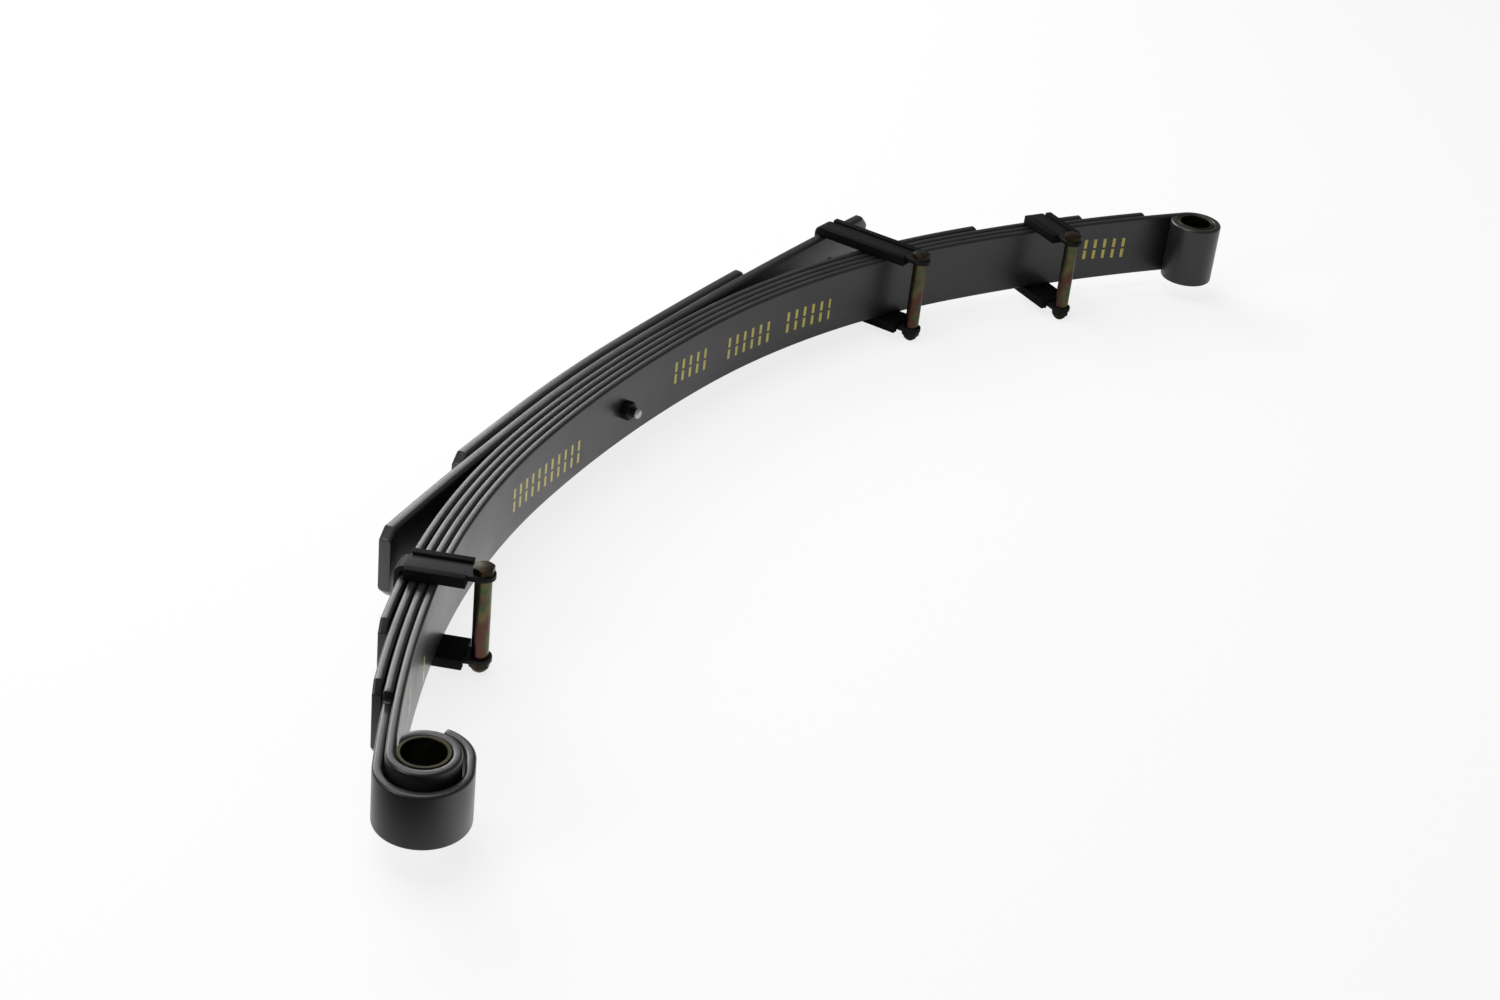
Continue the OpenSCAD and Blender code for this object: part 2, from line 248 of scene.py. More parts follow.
# Half width along a plain leaf end: straight, then the clipped corners
def plainHalf(total):
    cut = spring["cornerCut"]
    return lambda s: spring["width"] / 2 - max(0.0, s - total + cut)


# Rounds the last edge of a bar: the last rings draw in towards the end
def endSpots(total, radius, segments=4):
    angles = [math.pi / 2 * k / segments for k in range(segments + 1)]
    return [(total - radius + radius * math.sin(a), radius * (1 - math.cos(a))) for a in angles]


def plainRings(arcs, off, thickness, edge):
    total, start = lengthOf(arcs), (0.0, off - stack, 0.0)
    half, last = plainHalf(total), endSpots(total, spring["endRound"])
    stations = stationsTo(total - spring["endRound"], spring["step"], (total - spring["cornerCut"],))
    spots = [(s, 0.0) for s in stations[:-1]] + last
    return [ring(placeAt(start, arcs, s), half(s), thickness, edge, inset, s) for s, inset in spots]


def helperArcs(kind, end, seat):
    own = spring[kind]
    return cutArcs([(own["seat"], seat), (spring["helperRadius"], 1000)], own[end])


# The last rings of a rolled eye end on a plane beside the arm, not on a radius
def curlEnd(top, share, gap, inset, station):
    thickness, inner = spring["leaf"], spring["eyeRadius"]
    reach = inner - spring["eyeSlit"] - gap
    first = 2 * math.pi - math.acos(reach / (inner + thickness))
    out = []
    points = section(spring["width"] / 2 - inset, thickness - 2 * inset, spring["edgeRound"] - inset)
    for z, v in points:
        radius = inner + v + inset
        last = 2 * math.pi - math.acos(reach / radius)
        angle = first + (last - first) * share
        x, y = near(top, radius * math.sin(angle), radius * math.cos(angle) - inner)
        out.append(((x, y, z), (station + radius * (angle - first) * 0.5, z, v + inset)))
    return out


def mainRings(arcs):
    thickness, inner = spring["leaf"], spring["eyeRadius"]
    start, arm = (0.0, -stack, 0.0), lengthOf(arcs)
    gap = 0.6
    curl = 2 * math.pi - math.acos((inner - spring["eyeSlit"] - gap) / (inner + thickness))
    path = list(arcs) + [(inner, inner * curl)]
    turns = [arm + inner * curl * k / 72 for k in range(1, 73)]
    rings = []
    for s in stationsTo(arm, spring["step"]) + turns:
        rings.append(ring(placeAt(start, path, s), spring["width"] / 2, thickness, spring["edgeRound"], 0, s))
    top = placeAt(start, arcs, arm)
    for k in range(1, 6):
        rings.append(curlEnd(top, k / 5, gap, 0.0, turns[-1] + k))
    rings.append(curlEnd(top, 1.0, gap * 0.3, 0.18, turns[-1] + 5.4))
    rings.append(curlEnd(top, 1.0, 0.0, gap, turns[-1] + 5.7))
    return rings


def wrapperFrontRings():
    off, flare, thickness = spring["leaf"], spring["wrapperFlare"], spring["leaf"]
    full = lengthOf(spring["frontArcs"])
    arcs = offsetArcs(spring["frontArcs"], off, flare)
    neck = lengthOf(offsetArcs(cutArcs(spring["frontArcs"], full - spring["neck"]), off, flare))
    arm = lengthOf(arcs)
    inner = spring["eyeRadius"] + spring["leaf"] + spring["wrapGap"]
    slack, back, turn = spring["wrapSlack"], spring["wrapSlack"] + spring["wrapBack"], inner * math.pi
    sweep = spring["wrapEndRadius"] * math.radians(spring["wrapSweep"])
    path = arcs + [(None, slack), (inner, turn), (None, back), (spring["wrapEndRadius"], sweep)]
    total, wide, thin = lengthOf(path), spring["width"] / 2, spring["wrapWidth"] / 2
    rows = [(s, wide, 0.0) for s in stationsTo(neck - 1, spring["step"])]
    for k in range(1, 5):
        a = math.pi / 2 * k / 4
        rows.append((neck - 1 + math.sin(a), wide - 1 + math.cos(a), 0.0))
    for k in range(5):
        a = math.pi / 2 * k / 4
        rows.append((neck + 3 - 3 * math.cos(a), thin + 3 - 3 * math.sin(a), 0.0))
    rows += [(s, thin, 0.0) for s in stationsTo(arm, spring["step"]) if s > neck + 5]
    rows += [(arm + slack * k / 2, thin, 0.0) for k in range(1, 3)]
    rows += [(arm + slack + turn * k / 40, thin, 0.0) for k in range(1, 41)]
    rows += [(arm + slack + turn + back * k / 4, thin, 0.0) for k in range(1, 5)]
    straight = arm + slack + back + turn
    rows += [(straight + (sweep - 1) * k / 14, thin, 0.0) for k in range(1, 14)]
    rows += [(s, thin, inset) for s, inset in endSpots(total, 1.0)]
    start = (0.0, off - stack, 0.0)
    return [ring(placeAt(start, path, s), half, thickness, spring["edgeRound"], inset, s)
            for s, half, inset in rows]


# Each arm's start and each eye's middle, front and rear; the start and end are those of the joints
eyes, starts = {}, {}
for side, arcsName, sign in (("front", "frontArcs", -1), ("rear", "rearArcs", 1)):
    arcs = spring[arcsName]
    x, y = near(placeAt((0.0, -stack, 0.0), arcs, lengthOf(arcs)), 0, -spring["eyeRadius"])
    eyes[side] = (sign * x * 0.001, y * 0.001, 0)
    x, y = near(placeAt((0.0, -stack, 0.0), arcs, 60), 0, spring["leaf"] / 2)
    starts[side] = (sign * x * 0.001, y * 0.001, 0)

pieces = {}


def keep(obj, body, slot, *nodes):
    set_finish(obj, slot)
    if nodes:
        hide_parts(*nodes)
    if body in ("front", "rear"):
        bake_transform(obj)
    else:
        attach(obj, body)
    pieces[obj.name] = obj
    return obj


for side, arcsName in (("front", "frontArcs"), ("rear", "rearArcs")):
    flip = side == "front"
    arcs = spring[arcsName]
    keep(loft("main_leaf_" + side, mainRings(arcs), flip=flip), side, "leaf_paint", "main_leaf")
    for name, level, flare, ends in (
        ("third_leaf", 2, 0.016, {"front": 578, "rear": 724}),
        ("fourth_leaf", 3, 0.036, {"front": 494, "rear": 586}),
    ):
        off = level * spring["leaf"]
        own = offsetArcs(cutArcs(arcs, ends[side]), off, flare)
        rings = plainRings(own, off, spring["leaf"], spring["edgeRound"])
        keep(loft(name + "_" + side, rings, flip=flip), side, "leaf_paint", name)

keep(loft("wrapper_leaf_front", wrapperFrontRings(), flip=True), "front", "leaf_paint", "wrapper_leaf")
own = offsetArcs(cutArcs(spring["rearArcs"], spring["wrapperRear"]), spring["leaf"], spring["wrapperFlare"])
rings = plainRings(own, spring["leaf"], spring["leaf"], spring["edgeRound"])
keep(loft("wrapper_leaf_rear", rings), "rear", "leaf_paint", "wrapper_leaf")

for kind, node, level in (("longHelper", "long_helper_leaf", 0), ("shortHelper", "short_helper_leaf", 1)):
    off = 4 * spring["leaf"] + level * spring["helper"]
    rings = []
    for end, seat in (("front", 110), ("rear", 60)):
        own = offsetArcs(helperArcs(kind, end, seat), off)
        half = plainRings(own, off, spring["helper"], 3.6)
        if end == "front":
            half = [[((-x, y, z), (-s, w, v)) for (x, y, z), (s, w, v) in points] for points in half]
            rings = half[:0:-1]
        else:
            rings = rings + half
    keep(loft(node + "_look", rings), "centre", "leaf_paint", node)
print("leaves built", len(pieces))


# Where each clip stands: its matrix from clip coordinates in metres
def clipMatrix(arcs, off, flare, station, thickness, sign):
    own = offsetArcs(cutArcs(arcs, station), off, flare)
    place = placeAt((0.0, off - stack, 0.0), own, lengthOf(own))
    x, y = near(place, 0, thickness + clip["faceGap"])
    c, s = math.cos(place[2]), math.sin(place[2]) * sign
    return Matrix((
        (c, s, 0, sign * x * 0.001),
        (-s, c, 0, y * 0.001),
        (0, 0, 1, 0),
        (0, 0, 0, 1),
    ))


helperRear = [(spring["longHelper"]["seat"], 60), (spring["helperRadius"], 1000)]
clips = {
    "front": {"body": "front_clip", "reach": 69, "leaf": 8,
              "at": clipMatrix(spring["frontArcs"], 24, 0.036, 410, 8, -1)},
    "middle": {"body": "centre", "reach": 126, "leaf": 12,
               "at": clipMatrix(helperRear, 32, 0.0, 440, 12, 1)},
    "rear": {"body": "rear_clip", "reach": 74, "leaf": 8,
             "at": clipMatrix(spring["rearArcs"], 16, 0.016, 655, 8, 1)},
}


# A strap is a bar swept down, across and up in the clip's y and z, with round lugs at its ends
def strapRings(reach):
    lug = clip["strapWidth"] / 2
    leg = reach + lug - clip["bend"]
    bend = clip["bend"] * math.pi / 2
    path = [(None, leg), (clip["bend"], bend), (None, 2 * (clip["half"] - clip["bend"])),
            (clip["bend"], bend), (None, leg)]
    total, start = lengthOf(path), (-reach - lug, clip["half"], 0.0)
    tip = [lug * (1 - math.cos(math.radians(6 + 84 * k / 14))) for k in range(15)]
    middle = [lug + (leg - lug) * k / 4 for k in range(1, 5)]
    middle += [leg + bend * k / 8 for k in range(1, 9)]
    first = tip + middle
    spots = first + [total - s for s in reversed(first)]
    out = []
    for s in spots:
        edge = min(s, total - s)
        half = lug if edge >= lug else math.sqrt(lug * lug - (lug - edge) ** 2)
        points = ring(placeAt(start, path, s), half, clip["strap"], 1.1, 0, s)
        out.append([((z, x, y), rest) for (x, y, z), rest in points])
    return out


def chamferBox(name, outline, low, high, matrix, bevel):
    build = bmesh.new()
    pattern = build.verts.layers.float_vector.new("pattern")
    ends = []
    for y in (low, high):
        ends.append([build.verts.new(Vector((x, y, z)) * 0.001) for x, z in outline])
    count = len(outline)
    for k in range(count):
        n = (k + 1) % count
        build.faces.new((ends[0][k], ends[0][n], ends[1][n], ends[1][k]))
    build.faces.new(ends[0])
    build.faces.new(ends[1])
    bmesh.ops.recalc_face_normals(build, faces=build.faces)
    bmesh.ops.bevel(build, geom=list(build.edges), offset=bevel * 0.001, segments=3, profile=0.5,
                    affect="EDGES", clamp_overlap=True)
    for vert in build.verts:
        vert[pattern] = vert.co
        vert.co = matrix @ vert.co
    bmesh.ops.recalc_face_normals(build, faces=build.faces)
    return addMesh(name, build)


def linerOutline(sign):
    wide = clip["strapWidth"] / 2 + clip["lip"]
    slot = clip["strapWidth"] / 2 + 0.3
    inside, floor, top = clip["linerInside"], clip["half"], clip["half"] + clip["strap"] + clip["lipRise"]
    points = [(-wide, inside), (wide, inside), (wide, top), (slot, top), (slot, floor),
              (-slot, floor), (-slot, top), (-wide, top)]
    return [(x, sign * z) for x, z in points]


# Revolved and screwed shapes, made along z as rows of radii round the axis
def turned(name, rows, matrix, sharp=32, caps=True):
    build = bmesh.new()
    pattern = build.verts.layers.float_vector.new("pattern")
    made = []
    for row in rows:
        line = []
        for k, (radius, height) in enumerate(row):
            angle = 2 * math.pi * k / len(row)
            local = Vector((radius * math.cos(angle), radius * math.sin(angle), height)) * 0.001
            vert = build.verts.new(matrix @ local)
            vert[pattern] = local
            line.append(vert)
        made.append(line)
    count = len(made[0])
    for a, b in zip(made, made[1:]):
        for k in range(count):
            n = (k + 1) % count
            build.faces.new((a[k], a[n], b[n], b[k]))
    if caps:
        build.faces.new(made[0])
        build.faces.new(made[-1])
    else:
        for k in range(count):
            n = (k + 1) % count
            build.faces.new((made[-1][k], made[-1][n], made[0][n], made[0][k]))
    bmesh.ops.recalc_face_normals(build, faces=build.faces)
    return addMesh(name, build, sharp)


def roundRows(profile, count=64):
    return [[spot] * count for spot in profile]


# Hexagon rows with the corners chamfered at 30 degrees, and the mouth of a nut countersunk
def hexRows(across, low, high, chamferLow, chamferHigh, mouth=0.0, count=96):
    flat = across / 2
    corner = flat / math.cos(math.pi / 6)
    radii = []
    for k in range(count):
        angle = (2 * math.pi * k / count) % (math.pi / 3) - math.pi / 6
        radii.append(min(flat / math.cos(angle), corner - 0.25))
    slope = math.tan(math.radians(30))
    start = flat - 0.4
    rows = []
    if mouth:
        rows += [[(mouth, low + 0.8)] * count, [(mouth + 0.8, low)] * count]
    if chamferLow:
        rows += [[(start, low)] * count, [(r, low + (r - start) * slope) for r in radii]]
    else:
        rows += [[(r, low) for r in radii]]
    if chamferHigh:
        rows += [[(r, high - (r - start) * slope) for r in radii], [(start, high)] * count]
    else:
        rows += [[(r, high) for r in radii]]
    if mouth:
        rows += [[(mouth + 0.8, high)] * count, [(mouth, high - 0.8)] * count]
    return rows


# A lock nut: the hexagon, then a plain cone round the thread
def lockNutRows(across, low, high, count=96):
    top = high - clip["nutCone"]
    rows = hexRows(across, low, top, True, True, 5.0)[:-2]
    rows += [[(0.46 * across, top)] * count, [(0.46 * across - 0.2, top + 0.3)] * count]
    rows += [[(0.37 * across + 0.4, high - 0.6)] * count, [(0.37 * across - 0.2, high)] * count]
    return rows + [[(5.7, high)] * count, [(5.0, high - 0.7)] * count]


# A coarse screw thread from low to high, with a chamfered tip at high
def threadRows(radius, low, high, pitch=1.5, count=48):
    rows, lines = [], round((high - low) / pitch * 8)
    for i in range(lines + 1):
        height = low + (high - low) * i / lines
        row = []
        for k in range(count):
            phase = (height / pitch - k / count) % 1
            depth = 0.85 * (1 - abs(2 * phase - 1))
            row.append((min(radius - 0.05 - depth, radius - 1.4 + (high - height) * 1.2), height))
        rows.append(row)
    return rows


def joined(name, parts):
    build = bmesh.new()
    for part in parts:
        build.from_mesh(part.data)
        bpy.data.objects.remove(part)
    mesh = bpy.data.meshes.new(name)
    build.to_mesh(mesh)
    build.free()
    obj = bpy.data.objects.new(name, mesh)
    bpy.context.scene.collection.objects.link(obj)
    return obj


turnDown = Matrix.Rotation(math.pi, 4, "X")
outOfFace = Matrix.Rotation(-math.pi / 2, 4, "X")
for side, own in clips.items():
    matrix, body, reach, prefix = own["at"], own["body"], own["reach"], side + "_clip_"
    keep(loft(prefix + "strap_look", strapRings(reach), matrix=matrix), body, "clip_paint", prefix + "strap")
    stop = reach - clip["linerStop"]
    for word, sign in (("upper", 1), ("lower", -1)):
        name = prefix + word + "_liner"
        liner = chamferBox(name + "_look", linerOutline(sign), -stop, -clip["bend"] - 1, matrix, 0.6)
        keep(liner, body, "liner_plastic", name)
    outer = clip["half"] + clip["strap"]
    axis = matrix @ Matrix.Translation((0, -reach * 0.001, 0))
    head = hexRows(clip["boltAcross"], outer, outer + clip["headHeight"], False, True)
    plain = clip["boltRadius"] - clip["shankUnder"]
    shank = roundRows([(plain, -outer), (plain, outer + 1)])
    thread = threadRows(clip["boltRadius"], outer - 1, outer + clip["nutHeight"] + 2)
    bolt = [
        turned(prefix + "head", head, axis),
        turned(prefix + "shank", shank, axis),
        turned(prefix + "thread", thread, axis @ turnDown),
    ]
    keep(joined(prefix + "bolt_look", bolt), body, "yellow_zinc", prefix + "bolt")
    r, h, e, inside = clip["tubeRadius"], clip["half"], clip["tubeEdge"], clip["tubeInside"]
    profile = [(inside, -h), (r - e, -h), (r, e - h), (r, h - e), (r - e, h), (inside, h)]
    tube = turned(prefix + "tube_look", roundRows(profile), axis, caps=False)
    keep(tube, body, "yellow_zinc", prefix + "tube")
    nut = lockNutRows(clip["boltAcross"], outer, outer + clip["nutHeight"])
    keep(turned(prefix + "nut_look", nut, axis @ turnDown), body, "yellow_zinc", prefix + "nut")
    dome, top = clip["domeRadius"], clip["strap"] + clip["domeHeight"]
    inner, r = -own["leaf"] - clip["faceGap"], clip["rivetRadius"]
    # The middle clip's rivet shows its upset end; the other two stop inside the leaf they bend with
    if side == "middle":
        profile = [(4.2, inner - 0.8), (5.8, inner - 0.4), (5.8, inner), (r, inner + 0.1)]
    else:
        profile = [(r, inner + 0.6)]
    profile.append((r, clip["strap"]))
    edge = math.acos(1 - clip["domeHeight"] / dome)
    for k in range(13):
        a = edge * (1 - k / 12)
        profile.append((max(dome * math.sin(a), 0.05), top - dome + dome * math.cos(a)))
    rivet = turned(prefix + "rivet_look", roundRows(profile), matrix @ outOfFace)
    keep(rivet, body, "clip_paint", prefix + "rivet")

down = Matrix.Translation((0, -stack * 0.001, 0)) @ Matrix.Rotation(math.pi / 2, 4, "X")
gap, nutTop = clip["faceGap"], clip["faceGap"] + centreBolt["nutHeight"]
nut = hexRows(centreBolt["across"], gap, nutTop, True, True, centreBolt["radius"])
keep(turned("centre_nut_look", nut, down), "centre", "bolt_paint", "centre_nut")
tipStart = centreBolt["nutHeight"] + centreBolt["stub"]
r, h = centreBolt["dowelRadius"], centreBolt["dowelHeight"]
profile = [(centreBolt["radius"], -20), (centreBolt["radius"], -0.1), (r, -0.1), (r, h - 1.2), (r - 1.2, h)]
bolt = [
    turned("stub", threadRows(centreBolt["radius"], -1, tipStart), down),
    turned("dowel", roundRows(profile), outOfFace),
]
keep(joined("centre_bolt_look", bolt), "centre", "bolt_paint", "centre_bolt")

for side in ("front", "rear"):
    w, e, a, b = spring["width"] / 2, bush["edge"], bush["outside"], bush["inside"]
    profile = [(b, -w + e), (b + e, -w), (a - e, -w), (a, -w + e)]
    profile += [(a, w - e), (a - e, w), (b + e, w), (b, w - e)]
    middle = Matrix.Translation(eyes[side])
    ringLook = turned(side + "_eye_bush_look", roundRows(profile, 96), middle, caps=False)
    keep(ringLook, side + "_arm", "bush_steel", side + "_eye_bush")
print("fastenings built", len(pieces))


# Materials
def colour(text):
    parts = [int(text[k:k + 2], 16) / 255 for k in (1, 3, 5)]
    return tuple(p / 12.92 if p <= 0.04045 else ((p + 0.055) / 1.055) ** 2.4 for p in parts) + (1,)


def addNode(tree, kind, inputs, **settings):
    node = tree.nodes.new(kind)
    for key, value in settings.items():
        setattr(node, key, value)
    for key, value in inputs.items():
        if isinstance(value, bpy.types.NodeSocket):
            tree.links.new(value, node.inputs[key])
        else:
            node.inputs[key].default_value = value
    return node


def newMaterial(name):
    material = bpy.data.materials.new(name)
    material.use_nodes = True
    tree = material.node_tree
    tree.nodes.clear()
    shader = tree.nodes.new("ShaderNodeBsdfPrincipled")
    output = tree.nodes.new("ShaderNodeOutputMaterial")
    tree.links.new(shader.outputs[0], output.inputs["Surface"])
    return material, tree, shader


def patternCoordinates(tree):
    return addNode(tree, "ShaderNodeAttribute", {}, attribute_name="pattern").outputs["Vector"]


def noise(tree, place, millimetres, detail=3.0):
    return addNode(tree, "ShaderNodeTexNoise",
                   {"Vector": place, "Scale": 1000 / millimetres, "Detail": detail}).outputs["Fac"]


def spread(tree, value, low, high, toLow=0.0, toHigh=1.0):
    inputs = {"Value": value, "From Min": low, "From Max": high, "To Min": toLow, "To Max": toHigh}
    return addNode(tree, "ShaderNodeMapRange", inputs).outputs["Result"]


def mixed(tree, share, a, b):
    node = addNode(tree, "ShaderNodeMix", {"Factor": share}, data_type="RGBA")
    for socket, value in (("A", a), ("B", b)):
        found = [s for s in node.inputs if s.name == socket and s.type == "RGBA"][0]
        if isinstance(value, bpy.types.NodeSocket):
            tree.links.new(value, found)
        else:
            found.default_value = value
    return [s for s in node.outputs if s.type == "RGBA"][0]


def maths(tree, operation, a, b=0.0):
    return addNode(tree, "ShaderNodeMath", {0: a, 1: b}, operation=operation).outputs[0]


def bump(tree, height, millimetres, strength=1.0, under=None):
    inputs = {"Height": height, "Distance": millimetres * 0.001, "Strength": strength}
    if under is not None:
        inputs["Normal"] = under
    return addNode(tree, "ShaderNodeBump", inputs).outputs["Normal"]


powder = {
    "leaf": {"colour": "#161617", "light": "#1c1c1d", "rough": (0.30, 0.40), "peel": 0.05, "gloss": 0.62},
    "clip": {"colour": "#101011", "light": "#161617", "rough": (0.42, 0.52), "peel": 0.05, "gloss": 0.10},
}


# Black polyester powder, sprayed and stoved: even, satin, with a fine orange peel
def powderCoat(name, look):
    material, tree, shader = newMaterial(name)
    place = patternCoordinates(tree)
    broad = noise(tree, place, 60)
    fine = noise(tree, place, 1.8, 2.0)
    tree.links.new(mixed(tree, spread(tree, broad, 0.3, 0.7), colour(look["colour"]), colour(look["light"])),
                   shader.inputs["Base Color"])
    tree.links.new(spread(tree, broad, 0.3, 0.7, *look["rough"]), shader.inputs["Roughness"])
    tree.links.new(bump(tree, fine, look["peel"], 0.6), shader.inputs["Normal"])
    shader.inputs["Specular IOR Level"].default_value = look["gloss"]
    return material, tree, shader, place


# Painted shade: one yellow zinc in two copies, darker on the bolts and nuts than on the spacer tubes, to dim
# how brightly the bolt heads catch the lamps
passivate = {
    "head": {"gold": "#2e2a1c", "green": "#222c20", "copper": "#2c1f19", "rough": (0.34, 0.50)},
    "tube": {"gold": "#564e34", "green": "#3c4c38", "copper": "#503630", "rough": (0.26, 0.40)},
}


# Yellow passivate over zinc: thin films that run from gold to green and copper red
def yellowZinc(name, look):
    material, tree, shader = newMaterial(name)
    place = patternCoordinates(tree)
    patches, drift = noise(tree, place, 9, 4.0), noise(tree, place, 22, 2.0)
    gold = mixed(tree, spread(tree, patches, 0.42, 0.6), colour(look["gold"]), colour(look["green"]))
    warm = mixed(tree, spread(tree, drift, 0.45, 0.62), gold, colour(look["copper"]))
    shader.inputs["Metallic"].default_value = 1.0
    tree.links.new(warm, shader.inputs["Base Color"])
    tree.links.new(spread(tree, patches, 0.3, 0.7, *look["rough"]), shader.inputs["Roughness"])
    tree.links.new(bump(tree, noise(tree, place, 0.7), 0.02, 0.5), shader.inputs["Normal"])
    return material


# Black moulded nylon: matt, with a faint grain
def nylon(name):
    material, tree, shader = newMaterial(name)
    place = patternCoordinates(tree)
    tree.links.new(mixed(tree, noise(tree, place, 14), colour("#0a0a0b"), colour("#101011")),
                   shader.inputs["Base Color"])
    shader.inputs["Roughness"].default_value = 0.68
    shader.inputs["Specular IOR Level"].default_value = 0.07
    tree.links.new(bump(tree, noise(tree, place, 0.9), 0.04, 0.6), shader.inputs["Normal"])
    return material


# Drawn steel tube with an olive film of preserving oil
def oiledSteel(name):
    material, tree, shader = newMaterial(name)
    place = patternCoordinates(tree)
    film = spread(tree, noise(tree, place, 16), 0.35, 0.65)
    shader.inputs["Metallic"].default_value = 1.0
    tree.links.new(mixed(tree, film, colour("#232320"), colour("#38351f")), shader.inputs["Base Color"])
    tree.links.new(spread(tree, film, 0, 1, 0.34, 0.48), shader.inputs["Roughness"])
    tree.links.new(bump(tree, noise(tree, place, 1.2), 0.02, 0.5), shader.inputs["Normal"])
    return material


# Plain tally bars painted on the leaf; rows are (from, to, middle at from, middle at to) in mm
stencil = {
    "colour": "#d6c84c", "worn": "#b3a648", "height": 24, "bar": 4, "pitch": 13, "bridge": 1.3, "soft": 0.2,
    "front": [(84, 222, -9.5, 2.0), (474, 478, -16, -16), (545, 549, 0.5, 0.5)],
    "rear": [(91, 150, 3.5, -0.5), (186, 256, -3.0, -5.0), (283, 351, -3.5, -5.5), (698, 776, 4.0, -0.5)],
}


def above(tree, value, edge):
    soft = stencil["soft"]
    return spread(tree, value, (edge - soft) * 0.001, (edge + soft) * 0.001)


def below(tree, value, edge):
    return maths(tree, "SUBTRACT", 1.0, above(tree, value, edge))


def barRow(tree, station, across, row):
    low, high, start, end = row
    middle = spread(tree, station, low * 0.001, high * 0.001, start * 0.001, end * 0.001)
    away = maths(tree, "ABSOLUTE", maths(tree, "SUBTRACT", across, middle))
    run = maths(tree, "MODULO", maths(tree, "SUBTRACT", station, low * 0.001), stencil["pitch"] * 0.001)
    mask = above(tree, station, low)
    for part in (below(tree, station, high), below(tree, run, stencil["bar"]),
                 below(tree, away, stencil["height"] / 2), above(tree, away, stencil["bridge"])):
        mask = maths(tree, "MULTIPLY", mask, part)
    return mask


# Yellow stencil paint dabbed over the powder coat: thin, slightly uneven at its edges
def stencilled(name, rows):
    material, tree, shader, place = powderCoat(name, powder["leaf"])
    parts = addNode(tree, "ShaderNodeSeparateXYZ", {"Vector": place}).outputs
    mask = barRow(tree, parts["X"], parts["Y"], rows[0])
    for row in rows[1:]:
        mask = maths(tree, "MAXIMUM", mask, barRow(tree, parts["X"], parts["Y"], row))
    mask = maths(tree, "MULTIPLY", mask, below(tree, parts["Z"], 0.4))
    worn = spread(tree, noise(tree, place, 2.2), 0.30, 0.40, 0.6, 1.0)
    mask = maths(tree, "MULTIPLY", mask, worn)
    coat = shader.inputs["Base Color"].links[0].from_socket
    paint = mixed(tree, noise(tree, place, 7), colour(stencil["colour"]), colour(stencil["worn"]))
    tree.links.new(mixed(tree, mask, coat, paint), shader.inputs["Base Color"])
    return material


# The centre bolt is painted in place, and its sawn tip is bare steel
def paintedBolt(name):
    material, tree, shader, place = powderCoat(name, powder["clip"])
    height = addNode(tree, "ShaderNodeSeparateXYZ", {"Vector": place}).outputs["Z"]
    bare = above(tree, height, centreBolt["nutHeight"] + centreBolt["stub"] - 3.5)
    coat = shader.inputs["Base Color"].links[0].from_socket
    tree.links.new(mixed(tree, bare, coat, colour("#b9b7b2")), shader.inputs["Base Color"])
    tree.links.new(bare, shader.inputs["Metallic"])
    return material


leafCoat = powderCoat("satin_black_powder_leaf", powder["leaf"])[0]
marked = {side: stencilled("stencilled_powder_" + side, stencil[side]) for side in ("front", "rear")}
clipCoat = powderCoat("satin_black_powder_clip", powder["clip"])[0]
# The bolts and nuts take the darker, shaded copy of the yellow zinc; the tubes take the lighter one
zinc = yellowZinc("yellow_zinc_darkened_bolts", passivate["head"])
lighterTubeZinc = yellowZinc("yellow_zinc_lighter_tubes", passivate["tube"])
liner = nylon("black_nylon")
steel = oiledSteel("oiled_steel")
bySlot = {"leaf_paint": leafCoat, "clip_paint": clipCoat, "bolt_paint": clipCoat,
          "yellow_zinc": zinc, "liner_plastic": liner, "bush_steel": steel}
for obj in pieces.values():
    obj.data.materials.clear()
    obj.data.materials.append(bySlot[obj["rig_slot"]])
for side, material in marked.items():
    pieces["main_leaf_" + side].data.materials[0] = material
for side in clips:
    pieces[side + "_clip_tube_look"].data.materials[0] = lighterTubeZinc
pieces["centre_bolt_look"].data.materials[0] = paintedBolt("painted_bolt_bare_tip")
print("materials assigned")


# Studio
def buildCamera():
    data = bpy.data.cameras.new("photo")
    data.lens = camera["lens"]
    data.sensor_width = 36
    data.clip_end = 50
    obj = bpy.data.objects.new("photo", data)
    bpy.context.scene.collection.objects.link(obj)
    fx, fy = camera["heading"]
    pitch, roll = math.radians(camera["pitch"]), math.radians(camera["roll"])
    forward = Vector((fx * math.cos(pitch), fy * math.cos(pitch), -math.sin(pitch)))
    right = Vector((fy, -fx, 0))
    up = right.cross(forward)
    turnedRight = right * math.cos(roll) + up * math.sin(roll)
    turnedUp = up * math.cos(roll) - right * math.sin(roll)
    matrix = Matrix((turnedRight, turnedUp, -forward)).transposed().to_4x4()
    matrix.translation = Vector(camera["place"])
    obj.matrix_world = matrix
    bpy.context.scene.camera = obj


buildCamera()

# The floor looks nearly white to the camera, four fifths of it self-lit; the metal mirrors one with a dark
# card before the front eye, painted shade, and a self-lit glow in the arch fading towards the rear, painted
# light and reflection
floorLook = {
    "size": 30, "colour": "#f8f8f8", "glow": 1.0, "shade": 0.20,
    "mirrored": "#ffffff", "flagged": "#0c0c0c", "flagFrom": -0.78, "flagTo": -0.60, "arch": 1.25,
    "share": 0.8, "farShare": 0.08, "fadeFrom": -0.25, "fadeTo": 0.35,
}


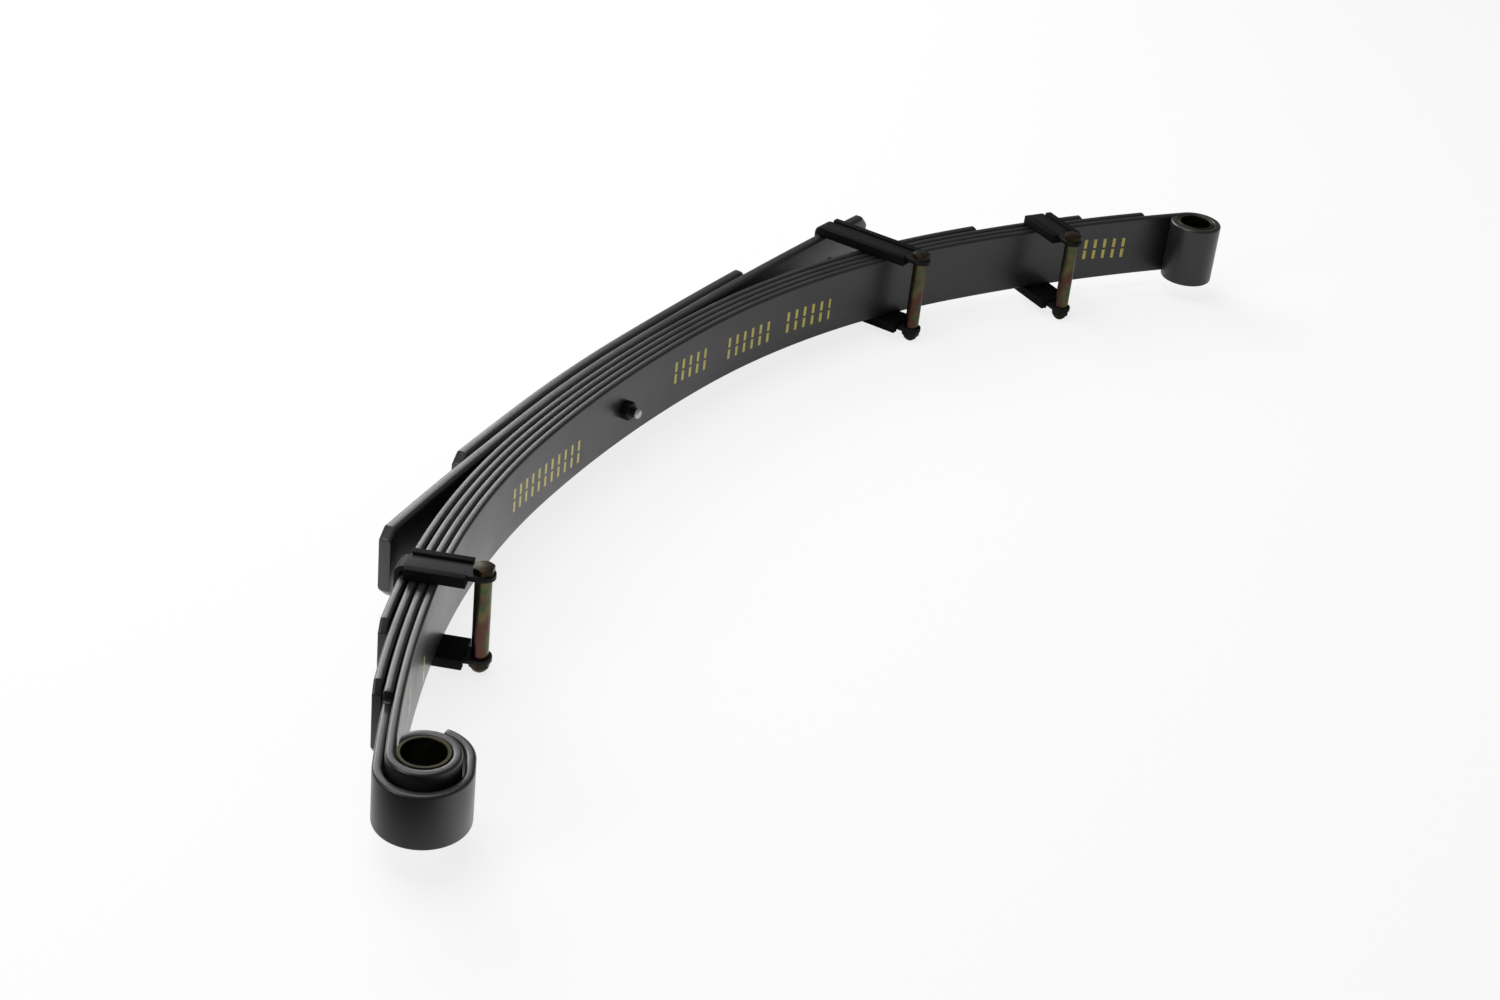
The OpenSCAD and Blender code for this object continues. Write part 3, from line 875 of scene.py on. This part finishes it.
def buildFloor():
    bpy.ops.mesh.primitive_plane_add(size=floorLook["size"], location=(0, 0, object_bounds()[0][2]))
    floor = bpy.context.object
    floor.name = "studio_floor"
    material = bpy.data.materials.new("pale_floor")
    material.use_nodes = True
    tree = material.node_tree
    tree.nodes.clear()
    lit = addNode(tree, "ShaderNodeBsdfDiffuse", {"Color": colour(floorLook["colour"])})
    glow = addNode(tree, "ShaderNodeEmission", {"Color": colour("#ffffff"), "Strength": floorLook["glow"]})
    seen = addNode(tree, "ShaderNodeMixShader",
                   {0: floorLook["shade"], 1: glow.outputs[0], 2: lit.outputs[0]})
    place = addNode(tree, "ShaderNodeTexCoord", {}).outputs["Object"]
    along = addNode(tree, "ShaderNodeSeparateXYZ", {"Vector": place}).outputs["X"]
    # Painted shade: a near-black card on the floor before the front eye, seen only in reflections and bounce
    card = spread(tree, along, floorLook["flagFrom"], floorLook["flagTo"])
    tone = mixed(tree, card, colour(floorLook["flagged"]), colour(floorLook["mirrored"]))
    plain = addNode(tree, "ShaderNodeBsdfDiffuse", {"Color": tone})
    # Painted light: the floor glows in the arch for reflections and bounce, strongest near the front and
    # fading towards the rear
    paintedGlow = addNode(tree, "ShaderNodeEmission", {"Color": tone, "Strength": floorLook["arch"]})
    fade = spread(tree, along, floorLook["fadeFrom"], floorLook["fadeTo"],
                  floorLook["share"], floorLook["farShare"])
    other = addNode(tree, "ShaderNodeMixShader",
                    {0: maths(tree, "MULTIPLY", card, fade), 1: plain.outputs[0], 2: paintedGlow.outputs[0]})
    path = addNode(tree, "ShaderNodeLightPath", {})
    both = addNode(tree, "ShaderNodeMixShader",
                   {0: path.outputs["Is Camera Ray"], 1: other.outputs[0], 2: seen.outputs[0]})
    output = tree.nodes.new("ShaderNodeOutputMaterial")
    tree.links.new(both.outputs[0], output.inputs["Surface"])
    floor.data.materials.append(material)


buildFloor()

# Lamps: place, what it looks at, its two sides in metres, and its watts
lamps = {
    "far_softbox": ((1.3, 2.4, 1.5), (0.0, -0.1, 0.0), (2.6, 1.6), 75),
    "overhead": ((-0.2, 0.6, 2.8), (0.0, -0.1, 0.0), (2.4, 2.0), 45),
    "left_fill": ((-2.6, 0.9, 1.2), (-0.3, -0.1, 0.0), (1.2, 1.2), 20),
}


def areaLight(name, place, target, size, power):
    data = bpy.data.lights.new(name, "AREA")
    data.shape = "RECTANGLE"
    data.size, data.size_y = size
    data.energy = power
    obj = bpy.data.objects.new(name, data)
    bpy.context.scene.collection.objects.link(obj)
    obj.location = place
    obj.rotation_euler = (Vector(target) - Vector(place)).to_track_quat("-Z", "Y").to_euler()


for name, settings in lamps.items():
    areaLight(name, *settings)
world = bpy.data.worlds.new("studio")
bpy.context.scene.world = world
world.use_nodes = True
backdrop = {"lit": 0.20, "seen": 1.0}
sky = world.node_tree.nodes["Background"]
sky.inputs["Color"].default_value = colour("#ffffff")
seen = addNode(world.node_tree, "ShaderNodeLightPath", {}).outputs["Is Camera Ray"]
strength = spread(world.node_tree, seen, 0.0, 1.0, backdrop["lit"], backdrop["seen"])
world.node_tree.links.new(strength, sky.inputs["Strength"])
bpy.context.scene.view_settings.view_transform = "Standard"
print("studio ready")
